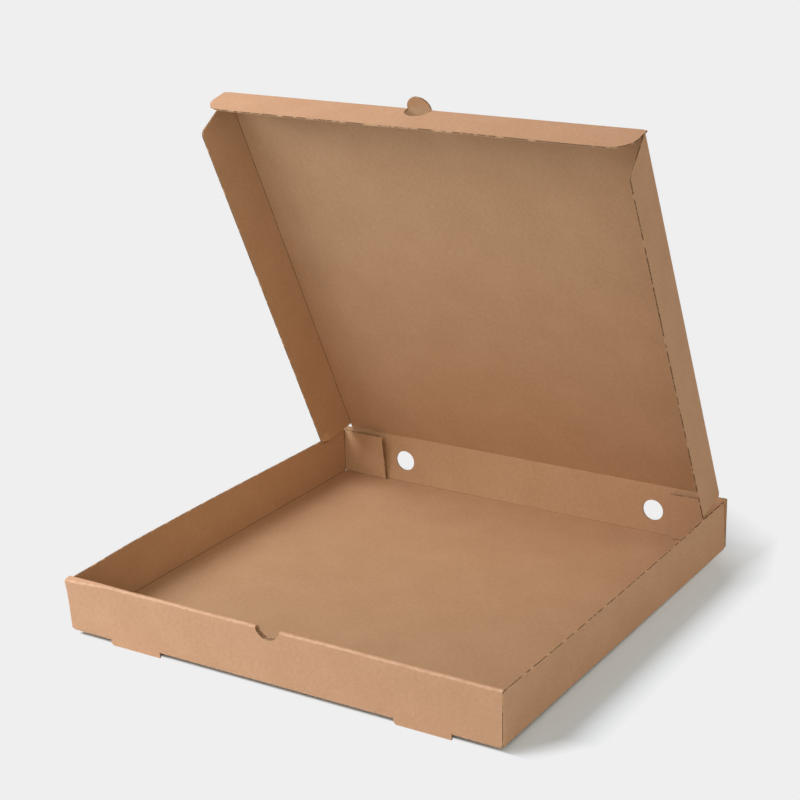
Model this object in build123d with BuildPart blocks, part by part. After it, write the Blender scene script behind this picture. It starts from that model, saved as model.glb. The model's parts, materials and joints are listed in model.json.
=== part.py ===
from build123d import *
import os
from math import cos, radians, sin, sqrt, tan

# A shallow carry-out box for a paella, folded from one die-cut sheet of corrugated kraft board.
# The tray has a rolled double front wall; the lid is hinged on the back wall and stands open.
# Millimetres and degrees. X runs left to right, Y front to back, Z up from the feet.

# The board and its folds
board = 1.6  # thickness of the corrugated board
score = 0.5  # inside radius of a creased fold
layer_gap = 0.2  # air between boards that are folded against each other
cut_gap = 0.3  # width of a cut between a moving flap and its neighbour

# The tray
tray_width = 460.0  # outside, left to right
tray_depth = 470.0  # outside, front to back
front_height = 54.0  # from the floor's underside to the top of the roll
side_height = 51.0  # from the floor's underside to the cut top of a side wall
roll_flat = 0.4  # flat between the two creases of the roll
back_inset = 0.4  # how much the back wall's ends stay inside the side walls
panel_room = 0.5  # room at each end of the front's inner panel

# Corner tabs at the ends of the side walls
front_tab_length = 59.0
rear_tab_length = 57.0
tab_height = 50.0  # from the floor's underside to a tab's top
tab_floor_room = 0.6  # room between a tab and the floor
left_tab_lean = 5.0  # the left rear tab has sprung this far off the back wall

# Feet at the front edge, and the slots and lock tabs behind them
foot_drop = 4.5  # how far a foot reaches below the floor
foot_width = 57.0
foot_spacing = 307.0  # between the middles of the two feet
foot_bevel = 2.5
slot_room = 0.3  # room round a foot and behind a lock tab
lock_inset = 4.0  # a lock tab is narrower than its slot by this at each end
lock_reach = 1.5  # how far a lock tab shows below the floor

# Thumb notch in the front wall, and steam vents in the back wall
notch_width = 26.0
notch_depth = 11.0
vent_diameter = 22.5
vent_spacing = 299.0
vent_height = 26.5  # from the floor's underside to the vents' middles

# The lid
lid_open = 64.0  # angle between the shut lid and the lid as it stands
lid_lift = 0.3  # the shut lid's underside clears the front roll by this
side_flap_depth = 48.0
left_flap_fold = 82.5  # angle of each flap to the lid, 0 being flat
right_flap_fold = 84.5
side_flap_room = 0.5  # between a side flap's edge and the side wall when shut
flap_root_inset = 1.5  # a side flap starts this far behind the lid's front crease
flap_front_slant = 12.0  # a side flap's front end slants back by this
flap_rear_slant = 10.5
flap_corner = 7.0  # corner radius of the side flaps
tab_room = 1.0  # between a side flap's root and the leaning rear tab when shut
front_flap_depth = 39.0
front_flap_fold = 76.5
front_flap_overhang = 4.0  # the front flap is wider than the lid by this at each end
front_flap_corner = 21.0
front_flap_room = 0.6  # between the front flap's edge and the front wall as the lid shuts

# The thumb tab, cut out of the front flap and left standing in the lid's plane
thumb_offset = -3.0  # the tab and the notch below it are this far off the middle
thumb_width = 24.5
thumb_height = 15.0
thumb_kerf = 0.5

# Places that follow from these
floor_z = foot_drop
fold_reach = score + board  # a square fold takes up this much of each panel
fold_middle = score + board / 2  # radius of a fold at the middle of the board
front_stack = 3 * board + 2 * layer_gap  # outer panel, corner tab and inner panel
front_face = -tray_depth / 2
outer_panel_y = front_face + board / 2
inner_panel_y = front_face + front_stack - board / 2
back_face = tray_depth / 2
back_wall_y = back_face - board / 2
side_wall_x = tray_width / 2 - board / 2
tab_y = back_face - board - layer_gap - board / 2  # middle of a tab lying on its wall
floor_middle_z = floor_z + board / 2
floor_half_width = tray_width / 2 - fold_reach
side_half_length = tray_depth / 2 - board - layer_gap - fold_reach
fold_top_z = floor_z + fold_reach
roll_z = floor_z + front_height - board / 2
roll_radius = (front_stack - board - roll_flat) / 2
hinge_y = back_face
hinge_z = floor_z + front_height + lid_lift

# Tray: floor, walls, corner tabs, feet and lock tabs as one folded sheet
with BuildPart() as tray:
    # Floor with the folds that lead into the front and back walls
    with BuildSketch(Plane.YZ):
        with BuildLine():
            FilletPolyline(
                (outer_panel_y, fold_top_z + board),
                (outer_panel_y, floor_middle_z),
                (back_wall_y, floor_middle_z),
                (back_wall_y, fold_top_z + board),
                radius=fold_middle,
            )
        trace(line_width=board)
    extrude(amount=floor_half_width, both=True)

    # Slots that the feet leave in the floor's front edge
    slot_depth = front_stack + slot_room
    slot_height = foot_drop + fold_reach
    with BuildSketch(Plane.XY):
        with Locations((-foot_spacing / 2, front_face), (foot_spacing / 2, front_face)):
            Rectangle(foot_width + 2 * slot_room, slot_depth * 2)
    extrude(amount=slot_height, mode=Mode.SUBTRACT)

    # Feet: the outer front panel runs on below the floor, bevelled at one end
    with BuildSketch(Plane.XZ.offset(-front_face)):
        with Locations((-foot_spacing / 2, 0), (foot_spacing / 2, 0)):
            Polygon(
                (-foot_width / 2, fold_top_z),
                (-foot_width / 2, foot_bevel),
                (-foot_width / 2 + foot_bevel, 0),
                (foot_width / 2, 0),
                (foot_width / 2, fold_top_z),
                align=None,
            )
    extrude(amount=-board)

    # Front wall: inner panel, roll and outer panel
    inner_panel_foot = floor_z + board + layer_gap
    with BuildSketch(Plane.YZ):
        with BuildLine():
            FilletPolyline(
                (inner_panel_y, inner_panel_foot),
                (inner_panel_y, roll_z),
                (outer_panel_y, roll_z),
                (outer_panel_y, fold_top_z),
                radius=roll_radius,
            )
        trace(line_width=board)
    extrude(amount=tray_width / 2, both=True)

    # The inner panel is cut back at both ends, so that it drops between the side walls
    end_cut = board + panel_room
    with BuildSketch(Plane.XY.offset(floor_z)):
        with GridLocations(tray_width - end_cut, 0, 2, 1):
            with Locations((0, inner_panel_y)):
                Rectangle(end_cut, board)
    extrude(amount=side_height + layer_gap, mode=Mode.SUBTRACT)

    # Lock tabs on the inner panel's lower edge, pushed through the slots
    with BuildSketch(Plane.XZ.offset(-inner_panel_y - board / 2)):
        with Locations((-foot_spacing / 2, floor_z - lock_reach), (foot_spacing / 2, floor_z - lock_reach)):
            Rectangle(
                foot_width - 2 * lock_inset,
                lock_reach + fold_reach + board,
                align=(Align.CENTER, Align.MIN),
            )
    extrude(amount=board)

    # Back wall with its two steam vents
    with BuildSketch(Plane.XZ.offset(-back_face)):
        with Locations((0, fold_top_z)):
            Rectangle(
                tray_width - 2 * back_inset,
                hinge_z - lid_lift - fold_top_z,
                align=(Align.CENTER, Align.MIN),
            )
        with Locations((-vent_spacing / 2, floor_z + vent_height), (vent_spacing / 2, floor_z + vent_height)):
            Circle(vent_diameter / 2, mode=Mode.SUBTRACT)
    extrude(amount=board)

    # Side walls, folded up from the floor
    side_top_z = floor_z + side_height
    with BuildSketch(Plane.XZ):
        with BuildLine():
            FilletPolyline(
                (-side_wall_x, side_top_z),
                (-side_wall_x, floor_middle_z),
                (side_wall_x, floor_middle_z),
                (side_wall_x, side_top_z),
                radius=fold_middle,
            )
        trace(line_width=board)
    extrude(amount=side_half_length, both=True)

    # Corner tabs, folded in from both ends of each side wall
    tab_foot_z = floor_z + board + tab_floor_room
    for side, lean in ((-1, left_tab_lean), (1, 0)):
        tab_run = rear_tab_length - board / 2
        with BuildSketch(Plane.XY.offset(tab_foot_z)):
            with BuildLine():
                FilletPolyline(
                    (side * (side_wall_x - tab_run * cos(radians(lean))), tab_y - tab_run * sin(radians(lean))),
                    (side * side_wall_x, tab_y),
                    (side * side_wall_x, -tab_y),
                    (side * (side_wall_x - front_tab_length + board / 2), -tab_y),
                    radius=fold_middle,
                )
            trace(line_width=board)
        extrude(amount=floor_z + tab_height - tab_foot_z)

    # Thumb notch through both layers of the front wall
    notch_radius = (notch_width**2 / 4 + notch_depth**2) / (2 * notch_depth)
    with BuildSketch(Plane.XZ.offset(-front_face)):
        with Locations((thumb_offset, floor_z + front_height - notch_depth + notch_radius)):
            Circle(notch_radius)
    extrude(amount=-front_stack, mode=Mode.SUBTRACT)

# The lid is drawn in its own plane: along runs from the hinge to the front crease
opening = radians(lid_open)
across = Vector(1, 0, 0)
along = Vector(0, -cos(opening), sin(opening))
inward = Vector(0, -sin(opening), -cos(opening))
hinge = Vector(0, hinge_y, hinge_z)
lid_plane = Plane(origin=hinge, x_dir=across, z_dir=inward)

# The lid is as wide and as long as its folded flaps allow inside the tray's walls
widest_fold = radians(min(left_flap_fold, right_flap_fold))
side_flap_reach = side_flap_depth * cos(widest_fold) + board * sin(widest_fold)
lid_half_width = tray_width / 2 - board - side_flap_room - side_flap_reach
front_fold = radians(front_flap_fold)
front_flap_reach = front_flap_depth * cos(front_fold) + board * sin(front_fold)
front_flap_drop = front_flap_depth * sin(front_fold) - board * cos(front_fold)
swing_limit = tray_depth - front_stack - front_flap_room
lid_length = sqrt(swing_limit**2 - front_flap_drop**2) - front_flap_reach

# The side flaps start clear of the leaning rear tab
lean = radians(left_tab_lean)
lean_room = (side_wall_x - lid_half_width) * tan(lean) + board / 2 / cos(lean)
flap_root_start = back_face - tab_y + lean_room + tab_room
flap_root_end = lid_length - flap_root_inset
flap_root_length = flap_root_end - flap_root_start

# The thumb tab is a disc that stands a little past the crease
thumb_radius = (thumb_width**2 / 4 + thumb_height**2) / (2 * thumb_height)
thumb_middle = thumb_height - thumb_radius

# Lid: top panel, thumb tab and both side flaps in one sheet
with BuildPart() as lid:
    with BuildSketch(lid_plane):
        with Locations((0, cut_gap)):
            Rectangle(2 * lid_half_width, lid_length - cut_gap, align=(Align.CENTER, Align.MIN))
        with Locations((-lid_half_width, flap_root_start), (lid_half_width, flap_root_start)):
            Rectangle(
                2 * fold_reach,
                flap_root_length,
                align=(Align.CENTER, Align.MIN),
                mode=Mode.SUBTRACT,
            )
        with Locations((thumb_offset, lid_length + thumb_middle)):
            Circle(thumb_radius)
    extrude(amount=-board)

    for side, fold in ((-1, radians(left_flap_fold)), (1, radians(right_flap_fold))):
        # The rounded fold between the panel and the flap
        fold_corner = lid_half_width + board / 2 * tan(fold / 2)
        fold_run = fold_reach + board / 2 * tan(fold / 2)
        with BuildSketch(Plane(origin=hinge + along * flap_root_start, x_dir=across, z_dir=along)):
            with BuildLine():
                FilletPolyline(
                    (side * (lid_half_width - fold_reach), board / 2),
                    (side * fold_corner, board / 2),
                    (side * (fold_corner + fold_run * cos(fold)), board / 2 - fold_run * sin(fold)),
                    radius=fold_middle,
                )
            trace(line_width=board)
        extrude(amount=flap_root_length)

        # The flap itself, slanted at both ends and rounded at its free corners
        outside = across * sin(fold) - inward * side * cos(fold)
        crease_start = hinge + across * side * lid_half_width + along * flap_root_start
        with BuildSketch(Plane(origin=crease_start, x_dir=along, z_dir=outside)):
            with BuildLine():
                FilletPolyline(
                    (0, fold_reach),
                    (flap_rear_slant, side_flap_depth),
                    (flap_root_length - flap_front_slant, side_flap_depth),
                    (flap_root_length, fold_reach),
                    radius=flap_corner,
                )
                Line((flap_root_length, fold_reach), (0, fold_reach))
            make_face()
        extrude(amount=side * board)

# Front flap of the lid, hinged on the lid's front crease
front_crease = hinge + along * lid_length
front_flap_half = lid_half_width + front_flap_overhang
with BuildPart() as front_flap:
    flap_face = inward * -cos(front_fold) + along * sin(front_fold)
    with BuildSketch(Plane(origin=front_crease, x_dir=-across, z_dir=flap_face)) as flap_outline:
        with Locations((0, cut_gap)):
            Rectangle(2 * front_flap_half, front_flap_depth - cut_gap, align=(Align.CENTER, Align.MIN))
        fillet(flap_outline.vertices().group_by(Axis.Y)[-1], radius=front_flap_corner)
        with Locations((-thumb_offset, thumb_middle)):
            Circle(thumb_radius + thumb_kerf, mode=Mode.SUBTRACT)
    extrude(amount=board)

os.makedirs("parts", exist_ok=True)
for name, piece in (("tray", tray), ("lid", lid), ("front_flap", front_flap)):
    piece.part.label = name
    export_step(piece.part, f"parts/{name}.step")
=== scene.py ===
import json
from math import cos, pi, radians, sin

import bmesh
import bpy
from mathutils import Matrix, Vector, noise


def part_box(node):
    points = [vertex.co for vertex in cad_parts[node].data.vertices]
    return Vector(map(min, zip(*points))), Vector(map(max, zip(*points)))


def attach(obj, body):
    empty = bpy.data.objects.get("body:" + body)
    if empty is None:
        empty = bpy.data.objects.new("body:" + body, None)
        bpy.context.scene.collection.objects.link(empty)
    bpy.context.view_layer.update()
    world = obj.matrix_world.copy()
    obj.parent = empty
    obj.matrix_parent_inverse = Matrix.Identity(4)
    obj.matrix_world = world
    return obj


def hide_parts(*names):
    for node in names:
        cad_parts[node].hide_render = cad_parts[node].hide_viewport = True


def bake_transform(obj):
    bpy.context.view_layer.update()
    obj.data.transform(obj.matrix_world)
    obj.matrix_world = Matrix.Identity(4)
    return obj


# The dressed look of an open carry-out box: warped kraft board with creases and fluted cut edges,
# on a pale studio floor. Lengths with MM are metres; the warps and the patterns work in millimetres.

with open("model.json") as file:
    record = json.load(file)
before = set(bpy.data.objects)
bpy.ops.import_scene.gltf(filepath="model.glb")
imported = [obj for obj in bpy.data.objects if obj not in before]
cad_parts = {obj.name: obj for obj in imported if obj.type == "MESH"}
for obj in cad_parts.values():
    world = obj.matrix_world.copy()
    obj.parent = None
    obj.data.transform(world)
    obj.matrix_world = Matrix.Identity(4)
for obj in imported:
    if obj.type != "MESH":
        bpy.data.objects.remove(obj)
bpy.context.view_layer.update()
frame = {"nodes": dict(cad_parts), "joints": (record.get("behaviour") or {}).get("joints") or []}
scene = bpy.context.scene
joints = {joint["name"]: joint for joint in frame["joints"]}

MM = 0.001

# The board
BOARD = 1.6 * MM
CUT_GAP = 0.3 * MM  # width of the cut that a crease strip closes
LID_LIFT = 0.3 * MM  # the lid's crease is this far above the back wall
FLAP_OVERHANG = 4.0 * MM  # the front flap is wider than the lid by this at each end
FOOT_DROP = 4.5 * MM  # height of the floor's underside above the feet
FRONT_STACK = 5.2 * MM  # thickness of the rolled front wall
THUMB_LEFT, THUMB_RIGHT = -16.0 * MM, 10.0 * MM  # ends of the cut-out that interrupts the front crease
GRID = 12 * MM  # net that the board is cut into before it is warped
SKIN = 0.02 * MM  # how far a crease strip lies below the faces that it joins
BEND_STEPS = 5  # faces round the front flap's bend

# Patterns on the board: the flutes by their real pitch, the others by how many there are in a mm
FLUTE_PITCH = 3.3  # mm from wave to wave; the flutes run from front to back
FIBRES = (1.3, 0.3, 1)  # 0.8 mm along the flutes, 3.3 mm across: bundles, as single fibres wouldn't show
MOTTLE = 0.22  # blotches of about 4.5 mm
CLOUDS = 0.02  # faint clouds of about 50 mm
SPECKS = 0.02  # at most one dark speck in 50 mm
SPECK_SIZE = 0.022  # radius of the largest one, as a share of that distance
CRUMBS = 0.8  # torn paper of a little over 1 mm along a crushed cut
FRAYED = 0.14  # rubbed patches of about 7 mm along a cut

# Places on the tray, in mm
HALF_WIDTH, HALF_DEPTH = 230, 235
SIDE_INSIDE, BACK_INSIDE, FRONT_INSIDE = 227.5, 233.2, -229  # where the walls begin
TAB_END, TAB_ROOT, TAB_FRONT, TAB_FOOT = 165, 228, 220, 2.2  # round the rear tabs

# Warps of the used board, in mm
LEFT_BOW, RIGHT_BOW = 4.2, 1.2  # outwards, at the middle of the side walls
REAR_IN = 2.0  # the right wall's upper rear end comes in
TAB_REACH, TAB_HEIGHT = 56, 47.8  # of the rear tabs
LEFT_TAB_BACK, LEFT_TAB_TWIST, LEFT_TAB_LIFT = 3.0, 7.0, 3.0
RIGHT_TAB_OFF = 4.5
ROLL_LOW, ROLL_WAVE = 0.3, 0.5  # the uneven top of the front roll
CRUSHED_OUT, CRUSHED_FORWARD, CRUSHED_DOWN = 2.4, 1.5, 2.6  # the left end of the front roll
FLOOR_WAVE = 0.35
LID_BOW = 1.0
FLAP_LEAN, FLAP_WAVE = 0.6, 0.6

# What tells a strip of cut board and a fold on the solids' faces
SHARP_EDGE = radians(50)
PARALLEL = 0.97  # cosine between the strip's long edges
BOARD_SLACK = 0.15 * MM
PANEL_FLAT = 0.975  # largest part of a flat panel's normal
FOLD_STEP = (radians(4), radians(45))  # turn between neighbouring faces of a fold

# Places read from the frame
X, Y, Z = Vector((1, 0, 0)), Vector((0, 1, 0)), Vector((0, 0, 1))
tray_low, tray_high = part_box("tray")
hinge = Vector(joints["lid_hinge"]["pos_m"])
crease = Vector(joints["front_flap_crease"]["pos_m"])
lid_length = (crease - hinge).length
lid_half_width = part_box("front_flap")[1].x - FLAP_OVERHANG
front_fold = radians(-joints["front_flap_crease"]["range_deg"][0])
along = (crease - hinge).normalized()
inward = X.cross(along)
flap_run = along * cos(front_fold) + inward * sin(front_fold)
flap_outside = along * sin(front_fold) - inward * cos(front_fold)

# The camera, found from the corners of the tray and the lid in an image 800 pixels square
IMAGE = 800
FOCAL = 1907.7  # pixels
CAMERA_AZIMUTH, CAMERA_ELEVATION, CAMERA_ROLL = radians(32.1), radians(19.0), radians(-1.3)
CAMERA_DISTANCE = 1773.6 * MM
CAMERA_TARGET = Vector((6.3, -23.3, 205.8)) * MM

LAMP_DISTANCE = 1.6
LAMP_TARGET = 0.1  # height that the lamps are turned to

# The floor turns pale outside the shadow: a direction, and where the fade starts and ends along it
SHADOW_EDGES = (
    ((1, 0, 0), 0.258, 0.296),
    ((-1, 0, 0), 0.2215, 0.2255),
    ((0, -1, 0), 0.2295, 0.2325),
    ((0.8, -0.6, 0), 0.318, 0.345),
    ((0.96, 0.28, 0), 0.290, 0.338),
    ((0.6, 0.8, 0), 0.285, 0.390),
)
REAR_FADE = (0.215, 0.275)  # the same along y, behind the box
REAR_CORNER = (0.15, 0.20)  # along x; here that one ends, and the shadow goes on past the corner
SIDE_FADE = (0.226, 0.232)  # along x; from here on the shadow is a little paler
SIDE_PALE = 0.08
FLOOR_REACH = 12


def smooth(value, start, end):
    """0 before start, 1 after end, and a smooth step between."""
    t = min(max((value - start) / (end - start), 0), 1)
    return t * t * (3 - 2 * t)


def linear(hex_colour):
    """A linear colour from an sRGB hex colour."""
    channels = [int(hex_colour[i : i + 2], 16) / 255 for i in (1, 3, 5)]
    return [c / 12.92 if c <= 0.04045 else ((c + 0.055) / 1.055) ** 2.4 for c in channels] + [1]


def axes(origin, x, y, z):
    """The matrix from a panel's own axes to the frame."""
    return Matrix.Translation(origin) @ Matrix((x, y, z)).transposed().to_4x4()


def add(tree, kind, inputs=None, **settings):
    """One shader node with its settings; an input is a value or the socket that feeds it."""
    made = tree.nodes.new(kind)
    for name, value in settings.items():
        setattr(made, name, value)
    for name, value in (inputs or {}).items():
        if isinstance(value, bpy.types.NodeSocket):
            tree.links.new(value, made.inputs[name])
        else:
            made.inputs[name].default_value = value
    return made


def calc(tree, operation, *values):
    """The result of a math node."""
    return add(tree, "ShaderNodeMath", dict(enumerate(values)), operation=operation).outputs[0]


def mix(tree, factor, a, b, blend="MIX"):
    """The result of a colour mix node; its colour sockets are the seventh and the eighth."""
    inputs = {0: factor, 6: a, 7: b}
    return add(tree, "ShaderNodeMix", inputs, data_type="RGBA", blend_type=blend).outputs[2]


def spread(tree, value, low, high, to_low=0.0, to_high=1.0):
    """A value spread from one range to another and held at its ends."""
    inputs = {"Value": value, "From Min": low, "From Max": high, "To Min": to_low, "To Max": to_high}
    return add(tree, "ShaderNodeMapRange", inputs).outputs[0]


def mark(tree, name):
    """A number kept on the mesh's faces."""
    return add(tree, "ShaderNodeAttribute", attribute_name=name).outputs["Fac"]


def new_material(name):
    """A node material, its tree and its shader."""
    material = bpy.data.materials.new(name)
    material.use_nodes = True
    return material, material.node_tree, material.node_tree.nodes["Principled BSDF"]


def kraft_liner():
    """Unbleached kraft paper: warm brown and matt, with fine fibres, faint clouds, a few dark specks
    and the flutes just telling through. Folds get painted shade inside and are rubbed outside."""
    material, tree, shader = new_material("kraft_liner")
    sheet = add(tree, "ShaderNodeUVMap", uv_map="sheet").outputs["UV"]
    stretch = add(tree, "ShaderNodeMapping", {"Vector": sheet, "Scale": FIBRES}).outputs["Vector"]
    noises = []
    for place, scale, detail in ((stretch, 1.0, 3.0), (sheet, MOTTLE, 4.0), (sheet, CLOUDS, 2.0)):
        inputs = {"Vector": place, "Scale": scale, "Detail": detail, "Roughness": 0.6}
        noises.append(add(tree, "ShaderNodeTexNoise", inputs).outputs["Fac"])
    fibre, mottle, cloud = noises
    tone = calc(tree, "MULTIPLY_ADD", mottle, 0.3, calc(tree, "MULTIPLY", cloud, 0.25))
    tone = spread(tree, calc(tree, "MULTIPLY_ADD", fibre, 0.45, tone), 0.3, 0.7)
    colour = mix(tree, tone, linear("#B68863"), linear("#CD9F7C"))
    colour = mix(tree, mark(tree, "inside"), colour, (0.86, 0.9, 0.85, 1), "MULTIPLY")

    cells = add(tree, "ShaderNodeTexVoronoi", {"Vector": sheet, "Scale": SPECKS})
    chance = add(tree, "ShaderNodeSeparateColor", {"Color": cells.outputs["Color"]}).outputs["Red"]
    radius = spread(tree, chance, 0.35, 1.0, 0.0, SPECK_SIZE)
    speck = calc(tree, "MULTIPLY", calc(tree, "LESS_THAN", cells.outputs["Distance"], radius), 0.7)
    colour = mix(tree, speck, colour, linear("#55361F"))

    bend = mark(tree, "bend")
    # Painted shade on the inner side of the folds: there the colour is multiplied towards a deep brown
    painted_crease_shade = calc(tree, "MAXIMUM", calc(tree, "MULTIPLY", bend, -1.0), 0.0)
    colour = mix(tree, painted_crease_shade, colour, (0.25, 0.2, 0.16, 1), "MULTIPLY")
    rubbed = spread(tree, mottle, 0.4, 0.6, 0.1, 0.5)
    rubbed = calc(tree, "MULTIPLY", calc(tree, "MAXIMUM", bend, 0.0), rubbed)
    colour = mix(tree, rubbed, colour, linear("#DDB897"))
    tree.links.new(colour, shader.inputs["Base Color"])

    inputs = {"Vector": sheet, "Scale": pi / 10 / FLUTE_PITCH, "Distortion": 0.6, "Detail": 1.0}
    flutes = add(tree, "ShaderNodeTexWave", inputs, bands_direction="Y").outputs["Fac"]
    relief = calc(tree, "MULTIPLY_ADD", flutes, 0.3, calc(tree, "MULTIPLY", fibre, 0.25))
    bump = add(tree, "ShaderNodeBump", {"Height": relief, "Strength": 0.4, "Distance": 0.12 * MM})
    tree.links.new(bump.outputs["Normal"], shader.inputs["Normal"])
    tree.links.new(spread(tree, tone, 0.0, 1.0, 0.82, 0.7), shader.inputs["Roughness"])
    shader.inputs["Specular IOR Level"].default_value = 0.2
    return material


def kraft_cut_edge():
    """A raw cut: two thin liners, and between them the wave of the flutes with shadow in its hollows.
    Where the cut runs along the flutes, it shows a crushed, ragged band instead. Handling has frayed
    either kind in paler patches."""
    material, tree, shader = new_material("kraft_cut_edge")
    cut = add(tree, "ShaderNodeUVMap", uv_map="cut").outputs["UV"]
    sheet = add(tree, "ShaderNodeUVMap", uv_map="sheet").outputs["UV"]
    place = add(tree, "ShaderNodeSeparateXYZ", {"Vector": cut})
    run, depth = place.outputs["X"], place.outputs["Y"]
    wave = calc(tree, "SINE", calc(tree, "MULTIPLY", run, 2 * pi / FLUTE_PITCH))
    wave = calc(tree, "MULTIPLY_ADD", wave, 0.34, 0.5)
    from_wave = calc(tree, "ABSOLUTE", calc(tree, "SUBTRACT", depth, wave))
    flute = spread(tree, from_wave, 0.09, 0.18, 1.0, 0.0)
    from_middle = calc(tree, "ABSOLUTE", calc(tree, "SUBTRACT", depth, 0.5))
    liner = spread(tree, from_middle, 0.36, 0.42)
    inputs = {"Vector": sheet, "Scale": CRUMBS, "Detail": 3.0}
    crumbs = add(tree, "ShaderNodeTexNoise", inputs).outputs["Fac"]
    inputs = {"Vector": sheet, "Scale": FRAYED, "Detail": 2.0}
    frayed = add(tree, "ShaderNodeTexNoise", inputs).outputs["Fac"]
    frayed = spread(tree, frayed, 0.5, 0.6, 0.0, 0.9)
    ends = calc(tree, "MAXIMUM", flute, liner)
    crushed = calc(tree, "MAXIMUM", spread(tree, crumbs, 0.42, 0.85), liner)
    open_ends = mark(tree, "flute_ends")
    paper = calc(tree, "MULTIPLY_ADD", open_ends, calc(tree, "SUBTRACT", ends, crushed), crushed)
    paper = calc(tree, "MAXIMUM", paper, frayed)
    # The dark colour is painted shade in the flute hollows and between the torn crumbs; the pale one is the
    # paper
    colour = mix(tree, paper, linear("#452A15"), linear("#C29A74"))
    tree.links.new(colour, shader.inputs["Base Color"])
    bump = add(tree, "ShaderNodeBump", {"Height": paper, "Strength": 0.5, "Distance": 0.3 * MM})
    tree.links.new(bump.outputs["Normal"], shader.inputs["Normal"])
    shader.inputs["Roughness"].default_value = 0.9
    shader.inputs["Specular IOR Level"].default_value = 0.15
    return material


LINER = kraft_liner()
CUT_EDGE = kraft_cut_edge()


def cut_across(face):
    """A long edge of a strip of raw cut board and the step to its other edge; None for other faces."""
    sharp = [edge for edge in face.edges if edge.is_manifold and edge.calc_face_angle() > SHARP_EDGE]
    for i, first in enumerate(sharp):
        run = (first.verts[1].co - first.verts[0].co).normalized()
        for second in sharp[i + 1 :]:
            other = (second.verts[1].co - second.verts[0].co).normalized()
            gap = second.verts[0].co - first.verts[0].co
            gap -= run * gap.dot(run)
            if abs(run.dot(other)) > PARALLEL and abs(gap.length - BOARD) < BOARD_SLACK:
                return first, gap
    return None


def on_sheet(point, normal):
    """A point's place on the flat sheet, in mm: along the flutes and across them."""
    if abs(normal.z) > 0.7:
        return Vector((point.y, point.x)) / MM
    if abs(normal.y) > 0.7:
        return Vector((point.z, point.x)) / MM
    return Vector((point.y, point.z)) / MM


def bend_of(face):
    """1 on the outside of a fold, -1 in its inside, 0 on a flat panel."""
    if max(abs(part) for part in face.normal) > PANEL_FLAT:
        return 0
    turns = [edge.calc_face_angle_signed() for edge in face.edges if edge.is_manifold]
    turns = [turn for turn in turns if FOLD_STEP[0] < abs(turn) < FOLD_STEP[1]]
    return (1 if sum(turns) > 0 else -1) if turns else 0


def unwrap(net, faces_in, crease_shade):
    """Lays each face on the flat sheet, and marks cut edges, folds and the side of the sheet."""
    sheet = net.loops.layers.uv.new("sheet")
    cut = net.loops.layers.uv.new("cut")
    inside = net.faces.layers.float.new("inside")
    bend = net.faces.layers.float.new("bend")
    flute_ends = net.faces.layers.float.new("flute_ends")
    for face in net.faces:
        strip = cut_across(face)
        panel_normal = face.normal
        if strip:
            edge, gap = strip
            face.material_index = 1
            panel_normal = next(other for other in edge.link_faces if other is not face).normal
            ends = [on_sheet(vert.co, panel_normal) for vert in edge.verts]
            face[flute_ends] = abs((ends[1] - ends[0]).normalized().y)
        else:
            turn = bend_of(face)
            # On the inner side of a fold, bend also carries how strong its painted shade is
            face[bend] = turn * (crease_shade(face.calc_center_median()) if turn < 0 else 1)
        face[inside] = float(faces_in(face.calc_center_median(), face.normal))
        for loop in face.loops:
            flat = on_sheet(loop.vert.co, panel_normal)
            loop[sheet].uv = flat
            if strip:
                depth = (loop.vert.co - edge.verts[0].co).dot(gap) / gap.length_squared
                loop[cut].uv = (flat.y, depth)


def slice_net(net):
    """Cuts the solid's faces along a grid, so that they can bend."""
    for axis in (X, Y, Z):
        reach = [vert.co.dot(axis) for vert in net.verts]
        low, high = min(reach), max(reach)
        count = int((high - low) / GRID)
        for i in range(1, count):
            place = axis * (low + (high - low) * i / count)
            everything = net.verts[:] + net.edges[:] + net.faces[:]
            bmesh.ops.bisect_plane(net, geom=everything, dist=0.001 * MM, plane_co=place, plane_no=axis)


def finish_mesh(net, name, materials):
    """A mesh object from the net, smooth over its bends and sharp at its edges."""
    mesh = bpy.data.meshes.new(name)
    net.to_mesh(mesh)
    net.free()
    for material in materials:
        mesh.materials.append(material)
    mesh.shade_smooth()
    mesh.set_sharp_from_angle(angle=radians(35))
    piece = bpy.data.objects.new(name, mesh)
    scene.collection.objects.link(piece)
    return piece


def board_piece(node, to_frame, faces_in, warp, crease_shade):
    """Folded board in place of a node: its solid on a fine grid, unwrapped and gently warped."""
    net = bmesh.new()
    net.from_mesh(frame["nodes"][node].data)
    net.transform(to_frame.inverted())
    bmesh.ops.remove_doubles(net, verts=net.verts, dist=0.002 * MM)
    bmesh.ops.dissolve_limit(net, angle_limit=radians(0.5), verts=net.verts, edges=net.edges)
    slice_net(net)
    net.normal_update()
    unwrap(net, faces_in, crease_shade)
    bmesh.ops.triangulate(net, faces=[face for face in net.faces if len(face.verts) > 4])
    for vert in net.verts:
        vert.co += warp(vert.co / MM) * MM
    net.transform(to_frame)
    piece = finish_mesh(net, node + "_board", (LINER, CUT_EDGE))
    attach(piece, node)
    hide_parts(node)


# The shapes that a folded sheet takes in use, in millimetres on each panel's own axes.
# Every warp fades out at the creases that move, and leaves the flaps their room in the walls.


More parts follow.
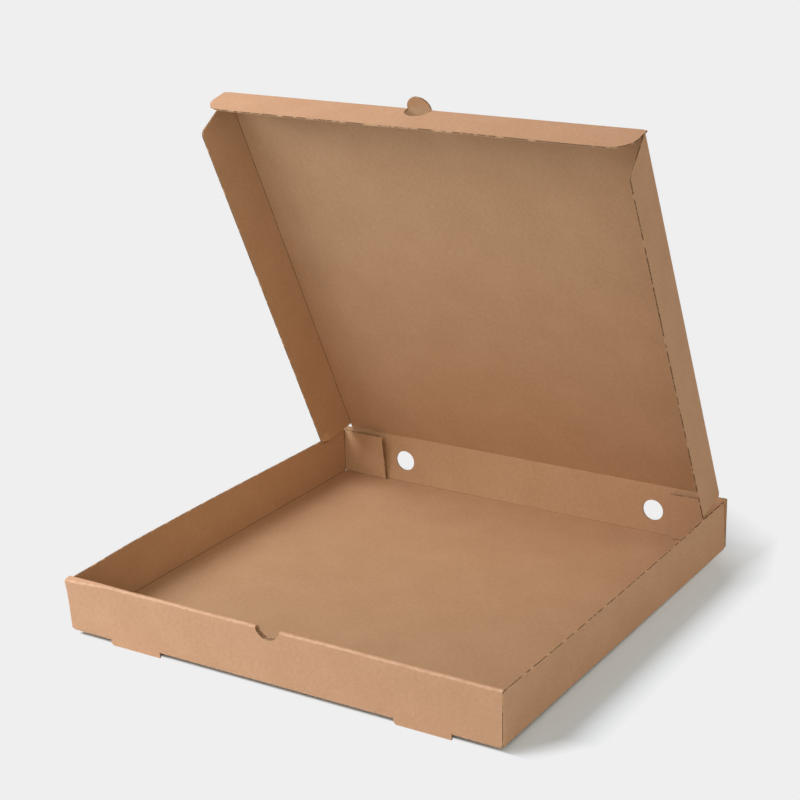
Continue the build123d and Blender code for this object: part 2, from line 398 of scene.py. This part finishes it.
def warp_tray(p):
    """Walls that bow, an uneven front roll that is crushed at its left end, and rear tabs that spring
    off their wall, the left one twisted."""
    move = Vector((0, 0, 0))
    rise = smooth(p.z, 3, 52)
    rear_tab = TAB_END < abs(p.x) < TAB_ROOT and TAB_FRONT < p.y < BACK_INSIDE and p.z > 1.9
    if abs(p.x) > SIDE_INSIDE:
        span = smooth(p.y, -230, -120) * (1 - smooth(p.y, -60, 215))
        move.x += (-LEFT_BOW if p.x < 0 else RIGHT_BOW) * rise * span
    if p.y < BACK_INSIDE and (p.x > SIDE_INSIDE or (rear_tab and p.x > 0)):
        move.x -= REAR_IN * rise * smooth(p.y, 110, 225)
    if rear_tab:
        free = (TAB_ROOT - abs(p.x)) / TAB_REACH
        up = (p.z - TAB_FOOT) / TAB_HEIGHT
        move.y += free * (LEFT_TAB_BACK - LEFT_TAB_TWIST * up if p.x < 0 else -RIGHT_TAB_OFF)
        move.z += LEFT_TAB_LIFT * free * up if p.x < 0 else 0
    if p.y < FRONT_INSIDE:
        wave = noise.noise(Vector((p.x / 45, 3.1, 0)))
        move.z -= smooth(p.z, 38, 54) * (ROLL_LOW + ROLL_WAVE * wave)
        crushed = smooth(-p.x, 170, 230) * smooth(-p.y, 230.5, 234)
        move.x -= CRUSHED_OUT * crushed * (p.z - 22) / 32
        move.y -= CRUSHED_FORWARD * crushed * smooth(p.z, 30, 54)
        move.z -= CRUSHED_DOWN * crushed * smooth(p.z, 44, 53)
    edge = min(HALF_WIDTH - abs(p.x), HALF_DEPTH - abs(p.y))
    wave = noise.noise(Vector((p.x / 110, p.y / 110, 1.7)))
    move.z += FLOOR_WAVE * wave * smooth(edge, 6, 45)
    return move


def warp_lid(p):
    """A lid panel that bows inwards a little between its creases."""
    across = 1 - smooth(abs(p.x), 30, 214)
    length = sin(pi * min(max(p.y * MM / lid_length, 0), 1))
    return Vector((0, 0, LID_BOW * across * length * length))


def warp_flap(p):
    """A front flap that hangs in a slight wave."""
    wave = FLAP_LEAN + FLAP_WAVE * noise.noise(Vector((p.x / 70, 8.3, 0)))
    return Vector((0, 0, wave * smooth(p.y, 4, 38)))


def crease_strip(name, rings, left, right):
    """The bent board at a crease: a strip through the rings, each an inner and an outer point."""
    net = bmesh.new()
    sheet = net.loops.layers.uv.new("sheet")
    inside = net.faces.layers.float.new("inside")
    outline = [ring[0] for ring in rings] + [ring[1] for ring in reversed(rings)]
    ends = [[net.verts.new(point + X * place) for point in outline] for place in (left, right)]
    for i in range(len(outline)):
        j = (i + 1) % len(outline)
        face = net.faces.new((ends[0][i], ends[0][j], ends[1][j], ends[1][i]))
        face[inside] = float(i < len(rings) - 1)
    net.faces.new(ends[1])
    net.faces.new(reversed(ends[0]))
    bmesh.ops.recalc_face_normals(net, faces=net.faces)
    for face in net.faces:
        for loop in face.loops:
            loop[sheet].uv = (loop.vert.co.z / MM, loop.vert.co.x / MM)
    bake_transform(finish_mesh(net, name, (LINER,)))


def in_tray(point, normal):
    """Whether a face is on the sheet's inner side; the rolled front wall shows its outer side all round."""
    return point.y > tray_low.y + FRONT_STACK and normal.dot(Z * 0.2 - point) > 0


def in_lid(point, normal):
    """Whether a face of the lid or of its side flaps is on the sheet's inner side."""
    return normal.dot(Vector((0, lid_length / 2, 0.2)) - point) > 0


def in_flap(point, normal):
    """Whether a face of the front flap is on the sheet's inner side."""
    return normal.z > 0


def crease_shade_tray(point):
    """Painted shade inside a fold of the tray; strongest at the left wall's foot, where shade falls."""
    return 0.9 if point.x < tray_low.x + 6 * MM else 0.6


def crease_shade_lid(point):
    """Painted shade inside a fold of the lid."""
    return 1.0


board_piece("tray", axes(Z * FOOT_DROP, X, Y, Z), in_tray, warp_tray, crease_shade_tray)
board_piece("lid", axes(hinge, X, along, inward), in_lid, warp_lid, crease_shade_lid)
board_piece("front_flap", axes(crease, X, flap_run, -flap_outside), in_flap, warp_flap, crease_shade_lid)

# The lid's crease on the back wall
wall_top = hinge - Z * LID_LIFT
wall_ring = (wall_top - Y * (BOARD - SKIN), wall_top - Y * SKIN)
lid_edge = hinge + along * CUT_GAP
lid_ring = (lid_edge - inward * SKIN, lid_edge - inward * (BOARD - SKIN))
hinge_rings = [
    [point - Z * MM for point in wall_ring],
    wall_ring,
    [(a + b) / 2 for a, b in zip(wall_ring, lid_ring)],
    lid_ring,
    [point + along * MM for point in lid_ring],
]
crease_strip("lid_crease", hinge_rings, -lid_half_width, lid_half_width)

# The front flap's crease on the lid, open where the thumb tab stands
bend_rings = [(crease - along * MM - inward * SKIN, crease - along * MM - inward * (BOARD - SKIN))]
for step in range(BEND_STEPS + 1):
    turn = front_fold * step / BEND_STEPS
    outside = along * sin(turn) - inward * cos(turn)
    inner = crease + (along * cos(turn) + inward * sin(turn)) * CUT_GAP * step / BEND_STEPS
    bend_rings.append((inner + outside * SKIN, inner + outside * (BOARD - SKIN)))
bend_rings.append([point + flap_run * MM for point in bend_rings[-1]])
for side, left, right in (("left", -lid_half_width, THUMB_LEFT), ("right", THUMB_RIGHT, lid_half_width)):
    crease_strip("flap_crease_" + side, bend_rings, left, right)


def studio_floor():
    """A pale floor on which the box stands, on its feet and its rear edge. It keeps the shadow near the
    box and goes over into an even pale backdrop further off, as in a catalogue picture."""
    lean = FOOT_DROP / (tray_high.y - tray_low.y)
    places = [(x * FLOOR_REACH, y * FLOOR_REACH) for x, y in ((-1, -1), (1, -1), (1, 1), (-1, 1))]
    mesh = bpy.data.meshes.new("studio_floor")
    mesh.from_pydata([(x, y, (y - tray_low.y) * lean) for x, y in places], [], [(0, 1, 2, 3)])
    floor = bpy.data.objects.new("studio_floor", mesh)
    scene.collection.objects.link(floor)
    material, tree, shader = new_material("studio_paper")
    shader.inputs["Base Color"].default_value = linear("#E6EFF3")
    shader.inputs["Roughness"].default_value = 1.0
    shader.inputs["Specular IOR Level"].default_value = 0.0
    place = add(tree, "ShaderNodeNewGeometry").outputs["Position"]
    parts = add(tree, "ShaderNodeSeparateXYZ", {"Vector": place}).outputs
    far = spread(tree, parts["X"], *SIDE_FADE, 0.0, SIDE_PALE)
    behind = spread(tree, parts["Y"], *REAR_FADE)
    behind = calc(tree, "MULTIPLY", behind, spread(tree, parts["X"], *REAR_CORNER, 1.0, 0.0))
    far = calc(tree, "MAXIMUM", behind, far)
    for toward, start, end in SHADOW_EDGES:
        inputs = {0: place, 1: toward}
        out = add(tree, "ShaderNodeVectorMath", inputs, operation="DOT_PRODUCT").outputs["Value"]
        far = calc(tree, "MAXIMUM", spread(tree, out, start, end), far)
    path = add(tree, "ShaderNodeLightPath").outputs
    seen = calc(tree, "MAXIMUM", path["Is Glossy Ray"], path["Is Transmission Ray"])
    seen = calc(tree, "MAXIMUM", path["Is Camera Ray"], seen)
    far = calc(tree, "MULTIPLY", far, seen)
    pale = add(tree, "ShaderNodeEmission", {"Color": linear("#EFEFEF"), "Strength": 1.0}).outputs[0]
    both = add(tree, "ShaderNodeMixShader", {0: far, 1: shader.outputs[0], 2: pale}).outputs[0]
    tree.links.new(both, tree.nodes["Material Output"].inputs["Surface"])
    mesh.materials.append(material)


def lamp(kind, name, azimuth, elevation, energy, colour):
    """A lamp and its holder, turned to the box; azimuth 0 shines from the front, 90 from the right."""
    light = bpy.data.lights.new(name, kind)
    light.energy, light.color = energy, colour
    holder = bpy.data.objects.new(name, light)
    a, e = radians(azimuth), radians(elevation)
    toward = Vector((sin(a) * cos(e), -cos(a) * cos(e), sin(e)))
    holder.location = Z * LAMP_TARGET + toward * LAMP_DISTANCE
    holder.rotation_euler = toward.to_track_quat("Z", "Y").to_euler()
    holder.visible_camera = False
    scene.collection.objects.link(holder)
    return light


studio_floor()

# Soft light: a near key lamp from the left, weaker ones from the front and from behind, a wide fill
# from the right, and a dim room
world = bpy.data.worlds.new("studio")
scene.world = world
world.use_nodes = True
room = world.node_tree.nodes["Background"]
room.inputs["Color"].default_value = (1.0, 0.96, 0.94, 1)
room.inputs["Strength"].default_value = 0.12
lamp("AREA", "key_light", -56, 42, 24.4, (1.0, 1.07, 1.22)).size = 1.0
lamp("SUN", "front_light", 5, 22, 0.38, (1.0, 1.03, 1.12)).angle = radians(40)
lamp("SUN", "fill_light", 50, 20, 1.66, (1.0, 0.95, 0.82)).angle = radians(90)
lamp("SUN", "back_light", 180, 12, 0.9, (1.0, 0.98, 0.95)).angle = radians(60)

# The camera at the photograph's angle
flat = Vector((sin(CAMERA_AZIMUTH), -cos(CAMERA_AZIMUTH), 0))
back = flat * cos(CAMERA_ELEVATION) + Z * sin(CAMERA_ELEVATION)
level = Z.cross(flat)
upright = back.cross(level)
rolled_x = level * cos(CAMERA_ROLL) + upright * sin(CAMERA_ROLL)
rolled_y = back.cross(rolled_x)
lens = bpy.data.cameras.new("camera")
lens.sensor_width = 36
lens.lens = lens.sensor_width * FOCAL / IMAGE
camera = bpy.data.objects.new("camera", lens)
camera.matrix_world = axes(CAMERA_TARGET + back * CAMERA_DISTANCE, rolled_x, rolled_y, back)
scene.collection.objects.link(camera)
scene.camera = camera
scene.view_settings.view_transform = "Standard"
